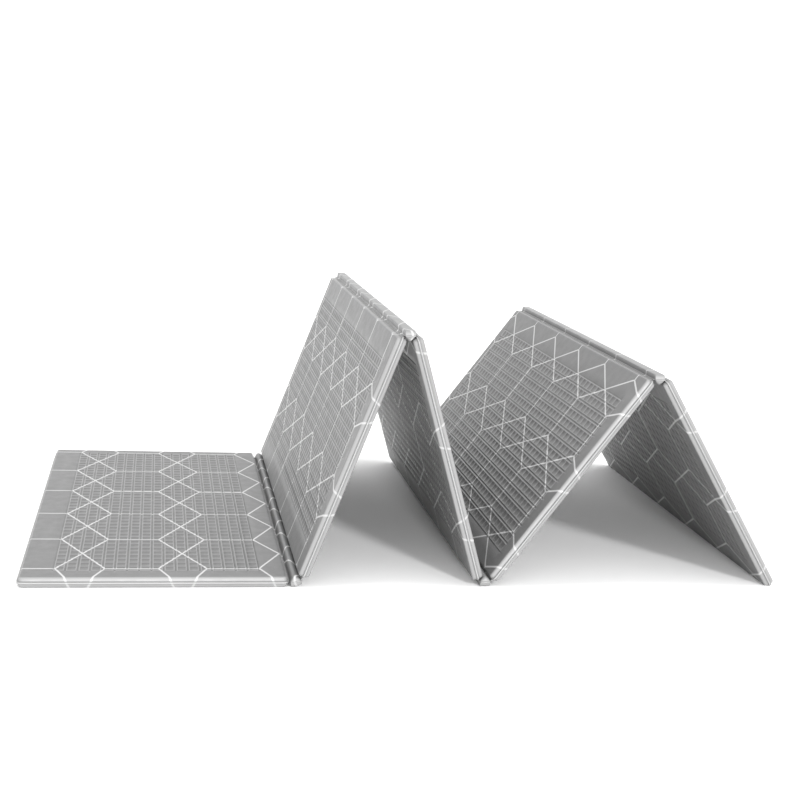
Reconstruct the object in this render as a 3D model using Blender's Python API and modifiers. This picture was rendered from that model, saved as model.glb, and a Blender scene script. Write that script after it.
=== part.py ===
"""A folding foam play mat standing in its zigzag: five panels, four hinge bars between them
and the narrow strips of welded film that carry each bar.

Metres, +Z up. The folds run along Y, and the zigzag goes along +X from the panel that lies
flat on the floor. The origin is on the floor, below the middle of the mat.
"""

import math
from typing import Callable, NamedTuple

import bmesh
import bpy
from mathutils import Vector

MM = 0.001

# Sizes of the mat when it lies flat
PANEL_LENGTH = 382 * MM  # across the folds, from seam to seam
MAT_WIDTH = 740 * MM  # along the folds
THICKNESS = 16 * MM
SEAM_LAND = 1 * MM  # height of the pressed edge round each piece, at mid-thickness
CORNER_RADIUS = 8 * MM
CORNER_SEGMENTS = 4
BAR_WIDTH = 16.6 * MM
BAR_END_TAPER = 6 * MM
BAR_TIP_SHARE = 0.92  # of the bar's width, left where its taper ends
WEB_SPAN = 2.8 * MM  # from a panel's seam to the seam of the bar beside it
WEB_THICKNESS = 0.6 * MM
WEB_CLEARANCE = 0.35 * MM  # kept free between a web and the seams that it joins
WEB_STUB = 0.3 * MM  # how far a web runs on in line with each seam before it bends
WEB_END_INSET = 8 * MM  # the webs stop short of the panels' rounded corners

# A panel's edge from its seam inwards: inset from the seam, height above mid-thickness
PANEL_EDGE = (
    (4.0 * MM, 6.6 * MM),
    (6.0 * MM, 8.0 * MM),
)

# Half of a bar's section: distance from the bar's middle, height above mid-thickness.
# The domed side faces into the fold, and the flat side faces out of it.
BAR_SECTION = (
    (0.0 * MM, 7.6 * MM),
    (2.6 * MM, 6.6 * MM),
    (5.6 * MM, 3.9 * MM),
    (8.3 * MM, 0.5 * MM),
    (8.3 * MM, -0.5 * MM),
    (7.6 * MM, -6.8 * MM),
    (3.5 * MM, -8.0 * MM),
)

# How the mat stands
FIRST_RISE = math.radians(70.7)  # slope of the panel before the first ridge
SECOND_RISE = math.radians(54.6)  # slope of the panel before the second ridge
FOOT_PRESS = 0.5 * MM  # how far the floor presses the last panel's lower edge
SOLVE_STEPS = 8
FLOOR_CUTTER_SIZE = 2.0

# Linear colours
FOAM_GREY = (0.34, 0.34, 0.34, 1)
WEB_GREY = (0.50, 0.50, 0.50, 1)
FILM_ROUGHNESS = 0.55


class Piece(NamedTuple):
    """A piece in the side view, from the seam where it starts."""

    name: str
    form: Callable
    start: Vector
    angle: float
    length: float
    domed_down: bool = False
    angles_beside: tuple = ()


def panel_form():
    """A thin slab with rounded corners, built up on both faces inside its bevelled edge."""
    form = bmesh.new()
    bmesh.ops.create_cube(form, size=1)
    bmesh.ops.scale(form, vec=(PANEL_LENGTH, MAT_WIDTH, SEAM_LAND), verts=form.verts)
    corners = [edge for edge in form.edges if edge.calc_length() < 2 * SEAM_LAND]
    bmesh.ops.bevel(
        form,
        geom=corners,
        offset=CORNER_RADIUS,
        offset_type="OFFSET",
        segments=CORNER_SEGMENTS,
        profile=0.5,
        affect="EDGES",
    )
    for side in (1, -1):
        inset_so_far = 0
        height_so_far = SEAM_LAND / 2
        for inset, height in PANEL_EDGE:
            outermost = max(form.faces, key=lambda face: side * face.calc_center_median().z)
            bmesh.ops.inset_region(
                form,
                faces=[outermost],
                thickness=inset - inset_so_far,
                depth=height - height_so_far,
                use_even_offset=True,
            )
            inset_so_far = inset
            height_so_far = height
    return form


def bar_form():
    """The bar's section carried along the fold, with both ends tapered to mid-thickness."""
    form = bmesh.new()
    tip_share = Vector((BAR_TIP_SHARE, 1, SEAM_LAND / THICKNESS))
    full_again = Vector((1 / tip_share.x, 1, 1 / tip_share.z))
    straight = MAT_WIDTH - 2 * BAR_END_TAPER
    right = list(BAR_SECTION)
    left = [(-across, height) for across, height in reversed(BAR_SECTION) if across > 0]
    tip = []
    for across, height in right + left:
        tip.append(form.verts.new((across * tip_share.x, -MAT_WIDTH / 2, height * tip_share.z)))
    rim = list(form.faces.new(tip).edges)
    stretches = ((BAR_END_TAPER, full_again), (straight, (1, 1, 1)), (BAR_END_TAPER, tip_share))
    for length, share in stretches:
        grown = bmesh.ops.extrude_edge_only(form, edges=rim)["geom"]
        moved = [item for item in grown if isinstance(item, bmesh.types.BMVert)]
        rim = [item for item in grown if isinstance(item, bmesh.types.BMEdge) and item.is_boundary]
        bmesh.ops.scale(form, vec=share, verts=moved)
        bmesh.ops.translate(form, vec=(0, length, 0), verts=moved)
    bmesh.ops.edgeloop_fill(form, edges=rim)
    return form


def walk(point, angle, length):
    """The point this far along a line of the side view, where y stands for height."""
    return point + length * Vector((math.cos(angle), math.sin(angle)))


def web_form(turn_in, turn_out):
    """The line of a web across the fold, carried along it as an open surface.

    The turns are the slopes of the pieces before and after it, seen from the web.
    """
    form = bmesh.new()
    start = Vector((-WEB_SPAN / 2, 0))
    end = Vector((WEB_SPAN / 2, 0))
    bend = WEB_CLEARANCE + WEB_STUB
    line = (
        walk(start, turn_in, WEB_CLEARANCE),
        walk(start, turn_in, bend),
        walk(end, turn_out, -bend),
        walk(end, turn_out, -WEB_CLEARANCE),
    )
    width = MAT_WIDTH - 2 * WEB_END_INSET
    points = [form.verts.new((point.x, -width / 2, point.y)) for point in line]
    edges = [form.edges.new(pair) for pair in zip(points, points[1:])]
    grown = bmesh.ops.extrude_edge_only(form, edges=edges)["geom"]
    moved = [item for item in grown if isinstance(item, bmesh.types.BMVert)]
    bmesh.ops.translate(form, vec=(0, width, 0), verts=moved)
    return form


def bar_lean():
    """The lean at which a bar lies on the sloping facet beside its flat side."""
    corner, flat_edge = BAR_SECTION[-2:]
    return math.atan2(corner[1] - flat_edge[1], corner[0] - flat_edge[0])


def bar_rest_height(tilt):
    """Height of a bar's middle when its flat side touches the floor at this lean."""
    reach_down = []
    for across, height in BAR_SECTION:
        for side in (1, -1):
            reach_down.append(-side * across * math.sin(tilt) - height * math.cos(tilt))
    return max(reach_down)


def fall_slope(drop, webs):
    """Slope at which a panel falls through this drop, with webs at half its slope beside it."""
    slope = math.asin(drop / PANEL_LENGTH)
    for _ in range(SOLVE_STEPS):
        slope = math.asin((drop - webs * WEB_SPAN * math.sin(slope / 2)) / PANEL_LENGTH)
    return slope


def zigzag():
    """The pieces in order, from the panel that lies on the floor."""
    pieces = []

    def end():
        if not pieces:
            return Vector((0, THICKNESS / 2))
        return walk(pieces[-1].start, pieces[-1].angle, pieces[-1].length)

    def add_panel(number, angle):
        pieces.append(Piece(f"panel_{number}", panel_form, end(), angle, PANEL_LENGTH))

    def add_web(name, angle, before, after):
        beside = (before - angle, after - angle)
        pieces.append(Piece(name, web_form, end(), angle, WEB_SPAN, angles_beside=beside))

    def add_fold(number, tilt, angle_after, domed_down, first_web_angle=None):
        before = pieces[-1].angle
        if first_web_angle is None:
            first_web_angle = (before + tilt) / 2
        add_web(f"film_web_{number}a", first_web_angle, before, tilt)
        pieces.append(Piece(f"hinge_bar_{number}", bar_form, end(), tilt, BAR_WIDTH, domed_down))
        add_web(f"film_web_{number}b", (tilt + angle_after) / 2, tilt, angle_after)

    add_panel(1, 0)
    lean = bar_lean()
    bar_left = bar_rest_height(lean) - BAR_WIDTH / 2 * math.sin(lean)
    dip = math.asin((bar_left - end().y) / WEB_SPAN)
    add_fold(1, lean, FIRST_RISE, domed_down=False, first_web_angle=dip)
    add_panel(2, FIRST_RISE)

    ridge = end().y + WEB_SPAN * math.sin(FIRST_RISE / 2)
    first_fall = -fall_slope(ridge - bar_rest_height(0), webs=2)
    add_fold(2, 0, first_fall, domed_down=True)
    add_panel(3, first_fall)
    add_fold(3, 0, SECOND_RISE, domed_down=False)
    add_panel(4, SECOND_RISE)

    ridge = end().y + WEB_SPAN * math.sin(SECOND_RISE / 2)
    second_fall = -fall_slope(ridge + FOOT_PRESS, webs=1)
    add_fold(4, 0, second_fall, domed_down=True)
    add_panel(5, second_fall)
    return pieces


def zigzag_reach(pieces):
    """Distance along X from the first panel's seam to the last panel's furthest point."""
    last = pieces[-1]
    past_seam = []
    for inset, height in PANEL_EDGE:
        past_seam.append(height * math.sin(-last.angle) - inset * math.cos(last.angle))
    return walk(last.start, last.angle, last.length).x + max(past_seam)


def film_material(name, colour):
    material = bpy.data.materials.new(name)
    material.use_nodes = True
    shader = material.node_tree.nodes["Principled BSDF"]
    shader.inputs["Base Color"].default_value = colour
    shader.inputs["Roughness"].default_value = FILM_ROUGHNESS
    shader.inputs["Metallic"].default_value = 0
    return material


def add_piece(piece, collection, parent):
    """The piece as an object with its own material, set along its line of the side view."""
    form = piece.form(*piece.angles_beside)
    mesh = bpy.data.meshes.new(piece.name)
    bmesh.ops.recalc_face_normals(form, faces=form.faces)
    form.to_mesh(mesh)
    form.free()
    colour = WEB_GREY if piece.form is web_form else FOAM_GREY
    mesh.materials.append(film_material(piece.name + "_film", colour))
    created = bpy.data.objects.new(piece.name, mesh)
    middle = walk(piece.start, piece.angle, piece.length / 2)
    created.location = (middle.x, 0, middle.y)
    turned = math.pi if piece.domed_down else 0
    created.rotation_euler = (0, turned - piece.angle, 0)
    created.parent = parent
    collection.objects.link(created)
    if piece.form is web_form:
        film = created.modifiers.new("film", "SOLIDIFY")
        film.thickness = WEB_THICKNESS
        film.offset = 0
        film.use_even_offset = True
    return created


def press_flat(panel, cutters):
    """Cut the panel level with the floor that its lower edge is pressed against."""
    bpy.ops.mesh.primitive_cube_add(size=FLOOR_CUTTER_SIZE)
    floor = bpy.context.active_object
    floor.name = "floor_cutter"
    floor.location = (0, 0, -FLOOR_CUTTER_SIZE / 2)
    floor.hide_render = True
    floor.display_type = "WIRE"
    for holder in list(floor.users_collection):
        holder.objects.unlink(floor)
    cutters.objects.link(floor)
    cut = panel.modifiers.new("pressed_foot", "BOOLEAN")
    cut.object = floor
    cut.operation = "DIFFERENCE"
    cut.solver = "EXACT"


def build():
    for old in list(bpy.data.objects):
        bpy.data.objects.remove(old, do_unlink=True)
    mat = bpy.data.collections.new("baby_play_mat")
    cutters = bpy.data.collections.new("cutters")
    for collection in (mat, cutters):
        bpy.context.scene.collection.children.link(collection)

    pieces = zigzag()
    start_point = bpy.data.objects.new("zigzag_start", None)
    start_point.location = (-zigzag_reach(pieces) / 2, 0, 0)
    mat.objects.link(start_point)
    for piece in pieces:
        placed = add_piece(piece, mat, start_point)
    press_flat(placed, cutters)


build()
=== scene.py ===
"""The looks of a folding foam play mat that stands in its zigzag.

Foam panels and hinge bars are wrapped in printed film, pressed to a seam at mid-thickness.
Every piece is built flat, as (along the unfolded mat, along the fold, above mid-thickness),
and is then laid on its line of the side view. Metres.
"""

import math
from typing import NamedTuple

import bpy
import numpy as np
from mathutils import Matrix, Vector, noise


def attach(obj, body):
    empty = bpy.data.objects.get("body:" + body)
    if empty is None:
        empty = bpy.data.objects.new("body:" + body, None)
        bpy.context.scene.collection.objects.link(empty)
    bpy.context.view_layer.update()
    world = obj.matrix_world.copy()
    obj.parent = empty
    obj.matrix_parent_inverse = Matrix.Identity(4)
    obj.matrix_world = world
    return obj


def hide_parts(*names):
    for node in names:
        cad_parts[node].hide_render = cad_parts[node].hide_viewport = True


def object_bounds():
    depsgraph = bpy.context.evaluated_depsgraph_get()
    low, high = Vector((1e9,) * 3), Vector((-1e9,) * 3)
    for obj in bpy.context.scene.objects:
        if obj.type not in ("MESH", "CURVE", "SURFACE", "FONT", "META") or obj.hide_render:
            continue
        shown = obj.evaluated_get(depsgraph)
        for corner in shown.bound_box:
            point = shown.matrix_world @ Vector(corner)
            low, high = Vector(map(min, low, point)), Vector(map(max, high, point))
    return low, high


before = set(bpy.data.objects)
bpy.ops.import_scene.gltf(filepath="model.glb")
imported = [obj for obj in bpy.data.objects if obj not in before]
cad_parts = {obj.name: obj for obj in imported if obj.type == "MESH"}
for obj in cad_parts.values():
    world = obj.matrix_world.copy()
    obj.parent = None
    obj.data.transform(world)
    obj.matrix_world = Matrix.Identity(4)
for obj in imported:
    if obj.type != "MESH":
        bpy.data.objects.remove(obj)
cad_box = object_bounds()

MM = 0.001
BODY = "root"

# Driving sizes of the mat, the same as the solids'
PANEL_LENGTH = 382 * MM
MAT_WIDTH = 740 * MM
BAR_WIDTH = 16.6 * MM
WEB_SPAN = 2.8 * MM
WEB_THICKNESS = 0.6 * MM
HALF_THICKNESS = 8 * MM
CORNER_RADIUS = 8 * MM
BAR_LEAN = math.atan2(1.2, 4.1)
BAR_FACET = (7.6 * MM, 6.8 * MM)  # the corner beside a bar's flat side, across and down
FIRST_RISE = math.radians(70.7)
SECOND_RISE = math.radians(54.6)
FOOT_PRESS = 0.5 * MM
SOLVE_STEPS = 8

# A panel's edge from the seam inwards, in mm: inset, height above mid-thickness.
# The welded seam is a narrow flange with a crease behind it.
PANEL_EDGE = (
    (0.0, 1.45),
    (0.35, 1.75),
    (0.85, 1.7),
    (1.25, 1.45),
    (1.6, 2.5),
    (2.0, 4.3),
    (2.6, 6.0),
    (3.4, 7.2),
    (4.4, 7.8),
    (5.6, 8.0),
)
EDGE_CREASE = 1.25 * MM  # inset of the crease in that list
CREASE_REACH = 0.35 * MM

# Half of a bar's section, in mm: across from the middle, height above mid-thickness.
# The domed side faces into the fold, the flat side out of it.
BAR_SECTION = (
    (0.0, 7.6),
    (1.3, 7.35),
    (2.7, 6.55),
    (4.1, 5.35),
    (5.5, 3.9),
    (6.7, 2.4),
    (7.35, 1.3),
    (7.6, 0.75),
    (8.0, 0.6),
    (8.3, 0.4),
    (8.3, -0.4),
    (8.0, -0.7),
    (7.8, -1.1),
    (7.95, -2.0),
    (7.95, -3.8),
    (7.95, -5.6),
    (7.75, -6.8),
    (7.1, -7.5),
    (5.9, -7.9),
    (3.9, -8.0),
    (1.6, -8.0),
)
BAR_CREASE = 7.65 * MM  # across, where the dome or the flat side meets the seam
BAR_CREASE_REACH = 0.25 * MM
BAR_CREASE_HEIGHT = 1.2 * MM
BAR_FLAT = (6.8 * MM, 7.5 * MM)  # heights between which the painted highlight on the flat side starts

# A bar's end from the tip inwards: distance in mm, share of the height, share of the width
BAR_END = (
    (0.0, 0.05, 0.90),
    (0.5, 0.10, 0.925),
    (1.1, 0.06, 0.935),
    (1.6, 0.22, 0.945),
    (2.4, 0.48, 0.96),
    (3.4, 0.72, 0.975),
    (4.6, 0.89, 0.99),
    (6.0, 0.97, 1.0),
    (7.5, 1.0, 1.0),
)
END_CREASE = 0.06  # share of the height at the crease in that list
BAR_SWAY = 0.012  # of its height
BAR_SWAY_RUN = 60 * MM
BAR_SWAY_SEED = 3.3

# The welded webs
WEB_OVERLAP = 0.5 * MM  # with the seams
WEB_REACH = 0.45  # of the span, in line with the piece beside it
WEB_STEPS = 11
WEB_SAG = 0.25 * MM
WEB_SAG_RUN = 22 * MM

PLAIN_STEP = 12 * MM  # between grid lines where nothing bends
WEB_STEP = 8 * MM
TINY = 1e-9

# The embossed field: columns of small cells between raised rails, crossed by rungs
COLUMNS = 17
CELLS = 39
CELL_PITCH = 17.35 * MM
RAIL_OFFSET = 6.5 * MM  # from a column's middle
RAIL_TOP = 0.15 * MM
RUNG_TOP = 0.1 * MM
CELL_FLOOR = -0.5 * MM  # beside a rung's near side
CELL_RISE = -0.1 * MM  # where the floor has risen to the next rung
GROOVE_FLOOR = -0.6 * MM
TOP_HALF = 0.75 * MM  # of a rail's or a rung's top
FOOT_HALF = 1.25 * MM  # of a rail's foot, and of a rung's on its shallow side
RUNG_FOOT = 1.9 * MM  # from a rung's middle to its foot on the deep side
FIELD_LIP = 1.2 * MM
# Where the field starts on each panel, from its first seam
FIELD_START = {1: 48.5 * MM, 2: 46.0 * MM, 3: 45.0 * MM, 4: 39.5 * MM, 5: 44.0 * MM}

# The printed lines: rows along the mat, opened into diamonds
ROW_PITCH = 135.3 * MM
FIRST_ROW = 40.5 * MM  # from the near seam
DIAMOND_PITCH = 146.1 * MM
DIAMOND_LENGTH = 70 * MM
FIRST_DIAMOND = 49.7 * MM
LINE_HALF = 1.4 * MM
LINE_SOFT = 0.35 * MM
EDGE_EASE = 0.8  # print length over surface length, where the film is drawn beside the near edge
WRAP_RUN = 8 * MM  # of the print on each half of the near edge, round which the film is drawn

# Camera at the photo's angle
CAMERA_PLACE = (-0.38898, -2.15711, 0.65237)
CAMERA_YAW = math.radians(11.004)
CAMERA_PITCH = math.radians(11.475)
CAMERA_ROLL = math.radians(3.6155)
CAMERA_LENS = 58.461
CAMERA_SENSOR = 36

# The light: a white surround, and three suns
SURROUND = 1.4
FRONT_KEY = 1.35
FRONT_DRIFT = (-0.45, 1.45)  # how far left and back its light goes for each metre down
FRONT_SPREAD = math.radians(8)
FRONT_LOW = 2.9
LOW_FALL = 0.1  # how far down the low light goes for each metre back
OVERHEAD = 0.35
OVERHEAD_DRIFT = 0.06
OVERHEAD_SPREAD = math.radians(4)

# The film: greys, and tones that these are multiplied by, some of them painted highlight and painted
# shade
FOAM_GREY = 0.131
PRINT_WHITE = 0.48
EDGE_WHITE = 0.34  # of the print that is drawn over an edge
WEB_GREY = 0.14
EDGE_PALE = 1.6  # tone of the film over the edges: stretched film, and a painted highlight on the bevels
SEAM_PALE = 1.4  # and once more on the fused seam, a painted highlight
BAR_FLAT_HIGHLIGHT = 0.4  # painted highlight on the film of a bar's flat side, where 0.5 is as much as on an edge
RELIEF_TONES = (0.74, 1.5)  # painted shade on the deepest floors, and painted highlight on the rib tops
DEEPEST_TONED = -0.7  # relief in mm at which the painted shade makes the film darkest
# Painted shade in the creases
CREASE_SHADE = 0.62
CREASE_INK = 0.8  # painted shade on the ink that reaches into a crease
EDGE_FULL = 0.5  # share of the way to the seam where the edges' painted highlight is as pale as it gets
SEAM_SHARES = (0.85, 0.95)  # of that way, where the fused seam starts
NOISE_SPAN = (0.3, 0.7)  # that a noise mostly keeps to
CLOUD_SCALE = 7.0
CLOUD_TONES = (0.965, 1.035)
SPECKLE_SCALE = 900.0
SPECKLE_TONES = (0.97, 1.03)
WEAR_SCALE = 320.0
WEAR_SPAN = (0.25, 0.5)
WEAR_INK = 0.82  # of the ink that is left where it is worn
GLOSS_SCALE = 60.0
FILM_ROUGHNESS = (0.38, 0.48)
INK_ROUGHNESS = 0.34
SWELL_SCALE = 24.0
SWELL_DEPTH = 0.5 * MM
GRAIN_SCALE = 800.0
GRAIN_DEPTH = 0.05 * MM
INK_DEPTH = 0.05 * MM

# The floor
FLOOR_REACH = 30.0
FLOOR_GREYS = (0.955, 0.965)
FLOOR_SCALE = 3.0
FLOOR_ROUGHNESS = 0.9
FLOOR_GLOSS = 0.1


class Piece(NamedTuple):
    """A piece of the side view, from the seam where it starts."""

    name: str
    kind: str
    number: int
    start: Vector
    angle: float
    length: float
    along: float  # where it starts on the unfolded mat
    domed_down: bool = False
    before: float = 0.0
    after: float = 0.0


def walk(point, angle, length):
    return point + length * Vector((math.cos(angle), math.sin(angle)))


def fall_slope(drop, webs):
    """Slope at which a panel falls through this drop, with webs at half its slope beside it."""
    slope = math.asin(drop / PANEL_LENGTH)
    for _ in range(SOLVE_STEPS):
        slope = math.asin((drop - webs * WEB_SPAN * math.sin(slope / 2)) / PANEL_LENGTH)
    return slope


def zigzag():
    """The pieces in order, as the solids stand."""
    pieces = []
    state = {"end": Vector((0, HALF_THICKNESS)), "along": 0.0}

    def add(name, kind, number, angle, length, **more):
        pieces.append(
            Piece(name, kind, number, state["end"], angle, length, state["along"], **more)
        )
        state["end"] = walk(state["end"], angle, length)
        state["along"] += length

    def add_fold(number, before, tilt, after, domed_down, first=None):
        first = (before + tilt) / 2 if first is None else first
        last = (tilt + after) / 2
        add(f"film_web_{number}a", "web", number, first, WEB_SPAN, before=before, after=tilt)
        add(f"hinge_bar_{number}", "bar", number, tilt, BAR_WIDTH, domed_down=domed_down)
        add(f"film_web_{number}b", "web", number, last, WEB_SPAN, before=tilt, after=after)

    across, down = BAR_FACET
    bar_left = (across - BAR_WIDTH / 2) * math.sin(BAR_LEAN) + down * math.cos(BAR_LEAN)

    add("panel_1", "panel", 1, 0, PANEL_LENGTH)
    dip = math.asin((bar_left - state["end"].y) / WEB_SPAN)
    add_fold(1, 0, BAR_LEAN, FIRST_RISE, False, dip)
    add("panel_2", "panel", 2, FIRST_RISE, PANEL_LENGTH)

    ridge = state["end"].y + WEB_SPAN * math.sin(FIRST_RISE / 2)
    fall = -fall_slope(ridge - HALF_THICKNESS, webs=2)
    add_fold(2, FIRST_RISE, 0, fall, True)
    add("panel_3", "panel", 3, fall, PANEL_LENGTH)
    add_fold(3, fall, 0, SECOND_RISE, False)
    add("panel_4", "panel", 4, SECOND_RISE, PANEL_LENGTH)

    ridge = state["end"].y + WEB_SPAN * math.sin(SECOND_RISE / 2)
    fall = -fall_slope(ridge + FOOT_PRESS, webs=1)
    add_fold(4, SECOND_RISE, 0, fall, True)
    add("panel_5", "panel", 5, fall, PANEL_LENGTH)
    return pieces


def lay(points, piece, origin):
    """Flat points (u, v, w) of a piece, laid on its line of the side view."""
    u, v, w = points.T
    cos, sin = math.cos(piece.angle), math.sin(piece.angle)
    x = origin + piece.start.x + u * cos - w * sin
    z = piece.start.y + u * sin + w * cos
    return np.stack([x, v, z], 1)


def ripple(values, wavelength, seed):
    """Smooth numbers from -1 to 1 along a line."""
    return np.array([noise.noise(Vector((x / wavelength, seed, 0.5))) for x in values])


def grid_faces(rows, columns):
    """Quads between the points of a grid that is stored row by row."""
    index = np.arange(rows * columns).reshape(rows, columns)
    quads = np.stack([index[:-1, :-1], index[1:, :-1], index[1:, 1:], index[:-1, 1:]], -1)
    return quads.reshape(-1, 4)


def two_sided_faces(rows, columns, flip=False):
    """Faces of two grids with one outline, the second facing back, and of the rim between."""
    count = rows * columns
    index = np.arange(count).reshape(rows, columns)
    rim = np.concatenate([index[:-1, 0], index[-1, :-1], index[:0:-1, -1], index[0, :0:-1]])
    after = np.roll(rim, -1)
    rim_faces = np.stack([after, after + count, rim + count, rim], 1)
    front = grid_faces(rows, columns)
    faces = np.concatenate([front, front[:, ::-1] + count, rim_faces])
    return (faces[:, ::-1] if flip else faces).tolist()


def add_mesh(name, points, faces, flat, painted_light_marks, material):
    """A smooth mesh that stays on the floor, with its flat place and its painted light marks for the
    material.
    """
    points[:, 2] = np.maximum(points[:, 2], 0)
    mesh = bpy.data.meshes.new(name)
    mesh.from_pydata(points.tolist(), [], faces)
    mesh.polygons.foreach_set("use_smooth", np.ones(len(mesh.polygons), bool))
    for key, values in (("flat_place", flat), ("painted_light_marks", painted_light_marks)):
        attribute = mesh.attributes.new(key, "FLOAT_VECTOR", "POINT")
        attribute.data.foreach_set("vector", values.astype(np.float32).ravel())
    mesh.materials.append(material)
    mesh.validate()
    mesh.update()
    created = bpy.data.objects.new(name, mesh)
    bpy.context.scene.collection.objects.link(created)
    return created


def smooth_bridge(start, end, step):
    """Lines strictly between two lines, about a step apart."""
    count = max(1, round((end - start) / step))
    return [start + (end - start) * i / count for i in range(1, count)]


def column_lines(start):
    """The field's lines across the fold: place, height, and whether rungs cross there."""
    lines = []
    first_middle = start + TOP_HALF + RAIL_OFFSET
    lines.append((first_middle - CELL_PITCH / 2 - FIELD_LIP, 0.0, False))
    for column in range(COLUMNS):
        middle = first_middle + column * CELL_PITCH
        lines.append((middle - CELL_PITCH / 2, GROOVE_FLOOR, False))
        for side in (-1, 1):
            rail = [
                (middle + side * (RAIL_OFFSET + FOOT_HALF), GROOVE_FLOOR, False),
                (middle + side * (RAIL_OFFSET + TOP_HALF), RAIL_TOP, False),
                (middle + side * (RAIL_OFFSET - TOP_HALF), RAIL_TOP, False),
                (middle + side * (RAIL_OFFSET - FOOT_HALF), 0.0, True),
            ]
            lines += rail if side < 0 else rail[::-1]
    last_middle = first_middle + (COLUMNS - 1) * CELL_PITCH
    lines.append((last_middle + CELL_PITCH / 2, GROOVE_FLOOR, False))
    lines.append((last_middle + CELL_PITCH / 2 + FIELD_LIP, 0.0, False))
    return lines


def rung_lines():
    """The field's lines along the fold: place, height, and whether it lies in the field."""
    lines = []
    start = -CELLS * CELL_PITCH / 2
    for rung in range(CELLS + 1):
        middle = start + rung * CELL_PITCH
        lines.append((middle - RUNG_FOOT, CELL_FLOOR, rung > 0))
        lines.append((middle - TOP_HALF, RUNG_TOP, True))
        lines.append((middle + TOP_HALF, RUNG_TOP, True))
        lines.append((middle + FOOT_HALF, CELL_RISE, rung < CELLS))
    return lines


def full_lines(length, low, field):
    """All grid lines from one seam to the other, with the field's among them."""
    insets = [inset * MM for inset, _ in PANEL_EDGE] + [CORNER_RADIUS]
    low_edge = [(low + inset, 0.0, False) for inset in insets]
    high_edge = [(low + length - inset, 0.0, False) for inset in reversed(insets)]
    before = smooth_bridge(low_edge[-1][0], field[0][0], PLAIN_STEP)
    after = smooth_bridge(field[-1][0], high_edge[0][0], PLAIN_STEP)
    plain_before = [(place, 0.0, False) for place in before]
    plain_after = [(place, 0.0, False) for place in after]
    return low_edge + plain_before + list(field) + plain_after + high_edge


def round_corners(u, v):
    """Moves the points of the corner squares so that the outline's corners are round."""
    half_u, half_v = PANEL_LENGTH / 2, MAT_WIDTH / 2
    from_u, from_v = half_u - np.abs(u - half_u), half_v - np.abs(v)
    near = np.minimum(from_u, from_v)
    far = np.maximum(from_u, from_v)
    corner = far < CORNER_RADIUS - TINY
    room = np.maximum(CORNER_RADIUS - near, TINY)
    turn = math.pi / 4 * (1 - (far - near) / room)
    small, large = CORNER_RADIUS - room * np.cos(turn), CORNER_RADIUS - room * np.sin(turn)
    new_u = np.where(from_u <= from_v, small, large)
    new_v = np.where(from_u <= from_v, large, small)
    from_u = np.where(corner, new_u, from_u)
    from_v = np.where(corner, new_v, from_v)
    u = half_u + np.sign(u - half_u) * (half_u - from_u)
    v = np.sign(v) * (half_v - from_v)
    return u, v, near


def wrapped_print(from_near, inset, insets, heights):
    """Places on the print for the top and the underside, which it reaches over the near edge."""
    steps = np.hypot(np.diff(insets), np.diff(heights))
    from_seam = np.concatenate([[0], np.cumsum(steps)])
    drawn = np.interp(inset, insets, 1 - from_seam / from_seam[-1]) * WRAP_RUN
    on_edge = (from_near < insets[-1]) & (from_near <= inset + TINY)

    eased = FIRST_ROW - (FIRST_ROW - from_near) * EDGE_EASE
    top = np.where(from_near < FIRST_ROW, eased, from_near)
    shoulder = FIRST_ROW - (FIRST_ROW - insets[-1]) * EDGE_EASE
    turned = shoulder - 2 * WRAP_RUN
    crossing = FIRST_ROW - ROW_PITCH / 2
    eased_run = (turned - crossing) / EDGE_EASE
    past = from_near - insets[-1]
    under = np.where(past < eased_run, turned - past * EDGE_EASE, crossing + eased_run - past)
    return np.where(on_edge, shoulder - drawn, top), np.where(on_edge, turned + drawn, under)


def embossed_grid(number):
    """A panel's grid, flat and with square corners, and the relief at each of its points."""
    across = full_lines(PANEL_LENGTH, 0, column_lines(FIELD_START[number]))
    along = full_lines(MAT_WIDTH, -MAT_WIDTH / 2, rung_lines())
    place_u, height_u, crossed = (np.array(column) for column in zip(*across))
    place_v, height_v, inside_v = (np.array(column) for column in zip(*along))
    u, v = np.meshgrid(place_u, place_v, indexing="ij")
    field = [i for i, line in enumerate(across) if line[1] != 0.0 or line[2]]
    inside_u = np.zeros(len(place_u), bool)
    inside_u[field[0] : field[-1] + 1] = True
    relief = np.where(crossed[:, None], height_v[None, :], height_u[:, None])
    return u, v, np.where(inside_u[:, None] & inside_v[None, :], relief, 0.0)


def panel_mesh(piece, origin, material):
    """A foam panel in film: two embossed faces that meet in the pressed seam."""
    u, v, relief = embossed_grid(piece.number)
    u, v, inset = round_corners(u, v)
    insets = [i * MM for i, _ in PANEL_EDGE]
    heights = [h * MM for _, h in PANEL_EDGE]
    height = np.interp(inset, insets, heights) + relief
    printed = wrapped_print(MAT_WIDTH / 2 + v, inset, insets, heights)
    # Share of the way to the seam, on which the film is painted paler: stretched film, and a painted
    # highlight
    edge = 1 - np.clip(inset / insets[-1], 0, 1)
    # Where the material paints shade into the crease
    crease = np.exp(-(((inset - EDGE_CREASE) / CREASE_REACH) ** 2))
    # Relief and crease, which only drive the painted shade and highlight
    painted_light_marks = np.stack([relief / MM, crease, np.zeros_like(crease)], -1).reshape(-1, 3)
    points, flats = [], []
    for side, place in zip((1, -1), printed):
        points.append(np.stack([u, v, side * height], -1).reshape(-1, 3))
        flats.append(np.stack([piece.along + u, place, edge], -1).reshape(-1, 3))
    return add_mesh(
        piece.name + "_film",
        lay(np.concatenate(points), piece, origin),
        two_sided_faces(*u.shape),
        np.concatenate(flats),
        np.concatenate([painted_light_marks, painted_light_marks]),
        material,
    )


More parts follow.
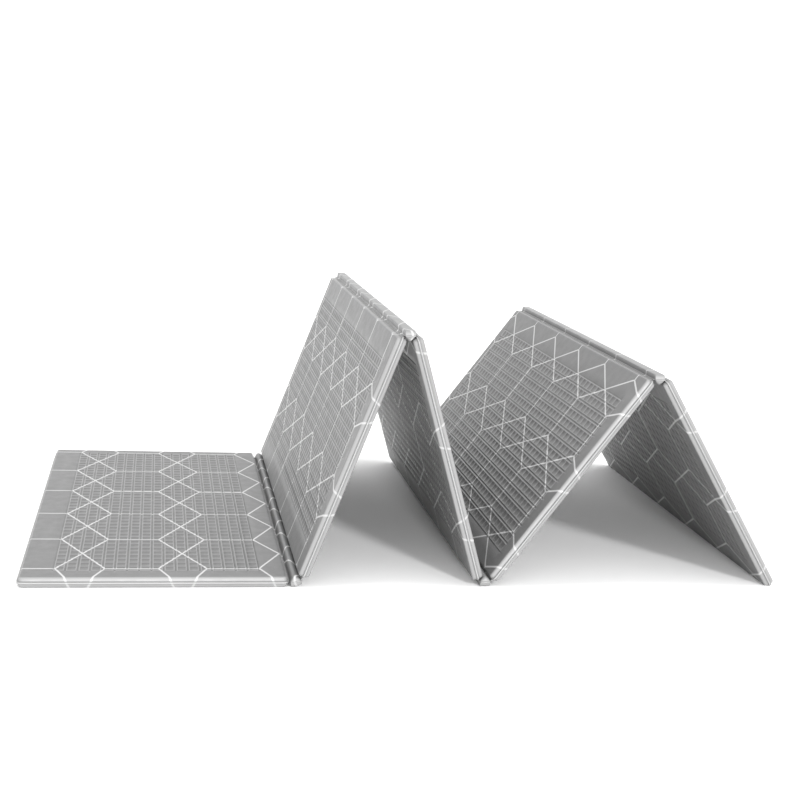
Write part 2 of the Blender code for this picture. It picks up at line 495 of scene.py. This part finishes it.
def bar_section(outward):
    """A bar's section, once round; outward is 1 where its flat side is below, or else -1."""
    right = [(a * MM, h * MM) for a, h in BAR_SECTION]
    left = [(-a, h) for a, h in reversed(right) if a > 0]
    return np.array(right + left) * (1, outward)


def bar_rings():
    """Places along a bar, and the shares of its height and of its width there."""
    ends = [(-MAT_WIDTH / 2 + d * MM, h, a) for d, h, a in BAR_END]
    middle = smooth_bridge(ends[-1][0], -ends[-1][0], PLAIN_STEP)
    rings = ends + [(v, 1.0, 1.0) for v in middle] + [(-v, h, a) for v, h, a in reversed(ends)]
    return np.array(rings).T


def bar_painted_light(section, height, outward):
    """How pale each point of a bar is painted, for stretched film and a painted highlight on its
    edges, flat side and ends, and where it is creased, for painted shade.
    """
    from_middle = np.abs(section[:, 0])
    facet = BAR_FACET[0]
    edge = np.clip((from_middle - facet) / (BAR_WIDTH / 2 - facet), 0, 1) ** 2
    # Painted highlight on the flat side
    low, high = BAR_FLAT
    flat_side = np.clip((-section[:, 1] * outward - low) / (high - low), 0, 1)
    edge = np.maximum(edge, BAR_FLAT_HIGHLIGHT * flat_side)
    # Painted highlight on the tapered ends
    edge = np.maximum(edge[None, :], (1 - height)[:, None])
    # Painted shade in the creases at the seam and at the ends
    crease = np.exp(-(((from_middle - BAR_CREASE) / BAR_CREASE_REACH) ** 2))
    crease *= np.abs(section[:, 1]) < BAR_CREASE_HEIGHT
    return edge, np.maximum(crease[None, :], np.isclose(height, END_CREASE)[:, None])


def bar_faces(rings, columns, flip):
    """Quads round a bar, and a cap of strips from side to side on each end."""
    index = np.arange(rings * columns).reshape(rings, columns)
    beside = np.roll(index, -1, 1)
    faces = np.stack([index[:-1], beside[:-1], beside[1:], index[1:]], -1).reshape(-1, 4).tolist()
    for ring, turned in ((index[0], True), (index[-1], False)):
        pairs = [(ring[-i % columns], ring[i]) for i in range(columns // 2 + 1)]
        for (a, b), (c, d) in zip(pairs, pairs[1:]):
            cap = [c, d, b, a] if turned else [a, b, d, c]
            faces.append(list(dict.fromkeys(int(i) for i in cap)))
    return [face[::-1] for face in faces] if flip else faces


def bar_mesh(piece, origin, material):
    """A hinge bar: its rounded section carried along the fold, tapered at both ends."""
    outward = -1 if piece.domed_down else 1
    section = bar_section(outward)
    v, height, width = bar_rings()
    sway = 1 + BAR_SWAY * ripple(v, BAR_SWAY_RUN, piece.number + BAR_SWAY_SEED)
    across = BAR_WIDTH / 2 + section[:, 0][None, :] * width[:, None]
    up = section[:, 1][None, :] * (height * sway)[:, None]
    along = np.repeat(v[:, None], len(section), 1)
    edge, crease = bar_painted_light(section, height, outward)
    flat = np.stack([piece.along + across, MAT_WIDTH / 2 + along, edge], -1)
    painted_light_marks = np.stack([np.zeros_like(edge), crease, np.zeros_like(edge)], -1)
    return add_mesh(
        piece.name + "_film",
        lay(np.stack([across, along, up], -1).reshape(-1, 3), piece, origin),
        bar_faces(*along.shape, piece.domed_down),
        flat.reshape(-1, 3),
        painted_light_marks.reshape(-1, 3),
        material,
    )


def web_curve(piece):
    """A web's line in the side view, which leaves each seam in line with its piece."""
    start, end = piece.start, walk(piece.start, piece.angle, piece.length)
    reach = piece.length * WEB_REACH
    a = walk(start, piece.before, -WEB_OVERLAP)
    d = walk(end, piece.after, WEB_OVERLAP)
    b, c = walk(a, piece.before, reach), walk(d, piece.after, -reach)
    steps = np.linspace(0, 1, WEB_STEPS)[:, None]
    a, b, c, d = (np.array(p) for p in (a, b, c, d))
    curve = (
        (1 - steps) ** 3 * a
        + 3 * (1 - steps) ** 2 * steps * b
        + 3 * (1 - steps) * steps**2 * c
        + steps**3 * d
    )
    return steps[:, 0], curve


def web_mesh(piece, origin, material):
    """The welded film between two seams: a thin strip that bends from one to the other."""
    steps, curve = web_curve(piece)
    slope = np.gradient(curve, axis=0)
    normal = np.stack([-slope[:, 1], slope[:, 0]], 1)
    normal /= np.linalg.norm(normal, axis=1)[:, None]
    half = MAT_WIDTH / 2 - CORNER_RADIUS
    v = np.array([-half] + smooth_bridge(-half, half, WEB_STEP) + [half])
    sag = WEB_SAG * ripple(v, WEB_SAG_RUN, piece.number + piece.along)
    middle = 4 * steps * (1 - steps)
    y = np.repeat(v[:, None], len(curve), 1)
    s = piece.along + np.repeat(steps[None, :] * piece.length, len(v), 0)
    flat = np.stack([s, MAT_WIDTH / 2 + y, np.zeros_like(s)], -1).reshape(-1, 3)
    sheets = []
    for side in (1, -1):
        offset = side * WEB_THICKNESS / 2 + middle[None, :] * sag[:, None]
        x = curve[None, :, 0] + normal[None, :, 0] * offset
        z = curve[None, :, 1] + normal[None, :, 1] * offset
        sheets.append(np.stack([origin + x, y, z], -1).reshape(-1, 3))
    return add_mesh(
        piece.name + "_strip",
        np.concatenate(sheets),
        two_sided_faces(*y.shape, flip=True),
        np.concatenate([flat, flat]),
        np.zeros((2 * len(flat), 3)),
        material,
    )


class Nodes:
    """Short calls for building a material's node tree."""

    def __init__(self, material):
        material.use_nodes = True
        self.tree = material.node_tree
        self.shader = self.tree.nodes["Principled BSDF"]

    def link(self, value, socket):
        if isinstance(value, bpy.types.NodeSocket):
            self.tree.links.new(value, socket)
        else:
            socket.default_value = value

    def math(self, operation, a, b=0.0):
        node = self.tree.nodes.new("ShaderNodeMath")
        node.operation = operation
        for value, socket in zip((a, b), node.inputs):
            self.link(value, socket)
        return node.outputs[0]

    def product(self, value, *factors):
        for factor in factors:
            value = self.math("MULTIPLY", value, factor)
        return value

    def attribute(self, name):
        node = self.tree.nodes.new("ShaderNodeAttribute")
        node.attribute_name = name
        split = self.tree.nodes.new("ShaderNodeSeparateXYZ")
        self.tree.links.new(node.outputs["Vector"], split.inputs[0])
        return split.outputs

    def range(self, value, low, high, to_low, to_high, smooth=False):
        node = self.tree.nodes.new("ShaderNodeMapRange")
        node.interpolation_type = "SMOOTHSTEP" if smooth else "LINEAR"
        for given, key in (
            (value, "Value"),
            (low, "From Min"),
            (high, "From Max"),
            (to_low, "To Min"),
            (to_high, "To Max"),
        ):
            self.link(given, node.inputs[key])
        return node.outputs["Result"]

    def noise(self, vector, scale, detail=2.0, roughness=0.5):
        node = self.tree.nodes.new("ShaderNodeTexNoise")
        self.tree.links.new(vector, node.inputs["Vector"])
        node.inputs["Scale"].default_value = scale
        node.inputs["Detail"].default_value = detail
        node.inputs["Roughness"].default_value = roughness
        return node.outputs["Fac"]

    def cells(self, vector, scale):
        node = self.tree.nodes.new("ShaderNodeTexVoronoi")
        self.tree.links.new(vector, node.inputs["Vector"])
        node.inputs["Scale"].default_value = scale
        return node.outputs["Distance"]

    def place(self):
        return self.tree.nodes.new("ShaderNodeTexCoord").outputs["Object"]

    def mix(self, share, a, b):
        """Grey a and grey b mixed by share, as a number."""
        return self.math("ADD", a, self.product(share, self.math("SUBTRACT", b, a)))

    def grey(self, value):
        node = self.tree.nodes.new("ShaderNodeCombineColor")
        for socket in node.inputs:
            self.tree.links.new(value, socket)
        return node.outputs[0]

    def bump(self, height, distance, under=None):
        node = self.tree.nodes.new("ShaderNodeBump")
        self.tree.links.new(height, node.inputs["Height"])
        node.inputs["Distance"].default_value = distance
        if under is not None:
            self.tree.links.new(under, node.inputs["Normal"])
        return node.outputs["Normal"]


def print_mask(nodes, along, fold):
    """1 on a printed line: rows along the mat, opened into a diamond once each repeat."""
    half_diamond = DIAMOND_LENGTH / 2
    half_row = ROW_PITCH / 2
    centred = nodes.math("SUBTRACT", along, FIRST_DIAMOND + half_diamond)
    from_middle = nodes.math("PINGPONG", centred, DIAMOND_PITCH / 2)
    from_row = nodes.math("PINGPONG", nodes.math("SUBTRACT", fold, FIRST_ROW), half_row)
    shares = nodes.math(
        "ADD",
        nodes.math("DIVIDE", from_middle, half_diamond),
        nodes.math("DIVIDE", from_row, half_row),
    )
    unit = 1 / math.hypot(1 / half_diamond, 1 / half_row)
    off_side = nodes.math("ABSOLUTE", nodes.math("SUBTRACT", shares, 1.0))
    off_side = nodes.math("MULTIPLY", off_side, unit)
    between = nodes.math("GREATER_THAN", from_middle, half_diamond)
    distance = nodes.mix(between, off_side, from_row)
    low, high = LINE_HALF - LINE_SOFT, LINE_HALF + LINE_SOFT
    return nodes.range(distance, low, high, 1.0, 0.0, smooth=True)


def film_material(name, grey):
    """Printed film over foam: fine grain, white lines, painted highlights on the ribs, edges, seams
    and a bar's flat side, and painted shade in the recesses and creases.
    """
    material = bpy.data.materials.new(name)
    nodes = Nodes(material)
    along, fold, edge = nodes.attribute("flat_place")
    relief, crease, _ = nodes.attribute("painted_light_marks")
    place = nodes.place()
    line = print_mask(nodes, along, fold)

    cloud = nodes.noise(place, CLOUD_SCALE, 3.0, 0.55)
    speckle = nodes.noise(place, SPECKLE_SCALE, 2.0, 0.6)
    ground = nodes.product(
        nodes.range(cloud, *NOISE_SPAN, *CLOUD_TONES),
        nodes.range(speckle, *NOISE_SPAN, *SPECKLE_TONES),
        # Painted shade on the relief's deep floors, and a painted highlight on its rib tops
        nodes.range(relief, DEEPEST_TONED, 0.0, RELIEF_TONES[0], 1.0),
        nodes.range(relief, 0.0, RUNG_TOP / MM, 1.0, RELIEF_TONES[1]),
        # Painted shade in the creases
        nodes.range(crease, 0.0, 1.0, 1.0, CREASE_SHADE),
        # Paler film on the edges: stretched film, and a painted highlight
        nodes.range(edge, 0.0, EDGE_FULL, 1.0, EDGE_PALE),
        # Painted highlight on the fused seam
        nodes.range(edge, *SEAM_SHARES, 1.0, SEAM_PALE),
        grey,
    )
    wear = nodes.noise(place, WEAR_SCALE, 3.0, 0.7)
    ink = nodes.product(line, nodes.range(wear, *WEAR_SPAN, WEAR_INK, 1.0))
    white = nodes.product(
        # Painted shade on the ink in the creases, and dimmer ink on the edges
        nodes.range(crease, 0.0, 1.0, 1.0, CREASE_INK),
        nodes.range(edge, 0.0, EDGE_FULL, PRINT_WHITE, EDGE_WHITE),
    )
    nodes.link(nodes.grey(nodes.mix(ink, ground, white)), nodes.shader.inputs["Base Color"])

    gloss = nodes.noise(place, GLOSS_SCALE, 3.0)
    rough = nodes.range(gloss, *NOISE_SPAN, *FILM_ROUGHNESS)
    nodes.link(nodes.mix(line, rough, INK_ROUGHNESS), nodes.shader.inputs["Roughness"])
    swell = nodes.bump(nodes.noise(place, SWELL_SCALE, 2.0), SWELL_DEPTH)
    grain = nodes.bump(nodes.cells(place, GRAIN_SCALE), GRAIN_DEPTH, swell)
    nodes.link(nodes.bump(line, INK_DEPTH, grain), nodes.shader.inputs["Normal"])
    return material


def make_camera():
    data = bpy.data.cameras.new("photo_camera")
    data.lens = CAMERA_LENS
    data.sensor_width = CAMERA_SENSOR
    data.clip_start = 0.01
    data.clip_end = 100
    camera = bpy.data.objects.new("photo_camera", data)
    bpy.context.scene.collection.objects.link(camera)
    turn = Matrix.Rotation(-CAMERA_YAW, 4, "Z")
    tip = Matrix.Rotation(math.pi / 2 - CAMERA_PITCH, 4, "X")
    roll = Matrix.Rotation(CAMERA_ROLL, 4, "Z")
    camera.matrix_world = Matrix.Translation(CAMERA_PLACE) @ turn @ tip @ roll
    bpy.context.scene.camera = camera


def soft_sun(name, towards, strength, spread):
    """Even light from far away; towards is the way that it shines."""
    data = bpy.data.lights.new(name, "SUN")
    data.energy = strength
    data.angle = spread
    light = bpy.data.objects.new(name, data)
    bpy.context.scene.collection.objects.link(light)
    light.rotation_euler = Vector(towards).to_track_quat("-Z", "Y").to_euler()


def make_floor():
    """A sheet of pale paper, wide enough to meet the surround far off."""
    mesh = bpy.data.meshes.new("studio_floor")
    corners = [(-1, -1), (1, -1), (1, 1), (-1, 1)]
    mesh.from_pydata([(x * FLOOR_REACH, y * FLOOR_REACH, 0) for x, y in corners], [], [(0, 1, 2, 3)])
    paper = bpy.data.materials.new("pale_paper")
    nodes = Nodes(paper)
    cloud = nodes.noise(nodes.place(), FLOOR_SCALE, 2.0)
    soft = nodes.range(cloud, *NOISE_SPAN, *FLOOR_GREYS)
    nodes.link(nodes.grey(soft), nodes.shader.inputs["Base Color"])
    nodes.shader.inputs["Roughness"].default_value = FLOOR_ROUGHNESS
    nodes.shader.inputs["Specular IOR Level"].default_value = FLOOR_GLOSS
    mesh.materials.append(paper)
    floor = bpy.data.objects.new("studio_floor", mesh)
    bpy.context.scene.collection.objects.link(floor)


def make_studio():
    """A pale floor that runs into a white surround, and soft light."""
    world = bpy.data.worlds.new("white_surround")
    world.use_nodes = True
    surround = world.node_tree.nodes["Background"]
    surround.inputs["Color"].default_value = (1, 1, 1, 1)
    surround.inputs["Strength"].default_value = SURROUND
    bpy.context.scene.world = world
    bpy.context.scene.view_settings.view_transform = "Standard"
    make_floor()
    soft_sun("front_key", (*FRONT_DRIFT, -1), FRONT_KEY, FRONT_SPREAD)
    soft_sun("overhead", (0, OVERHEAD_DRIFT, -1), OVERHEAD, OVERHEAD_SPREAD)
    soft_sun("front_low", (0, 1, -LOW_FALL), FRONT_LOW, FRONT_SPREAD)


def dress(origin):
    """Every solid gets its finished piece."""
    foam = film_material("printed_foam_film", FOAM_GREY)
    web = film_material("welded_film_strip", WEB_GREY)
    makers = {"panel": (panel_mesh, foam), "bar": (bar_mesh, foam), "web": (web_mesh, web)}
    for piece in zigzag():
        maker, material = makers[piece.kind]
        made = maker(piece, origin, material)
        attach(made, BODY)
        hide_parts(piece.name)


make_camera()
make_studio()
dress(cad_box[0].x)
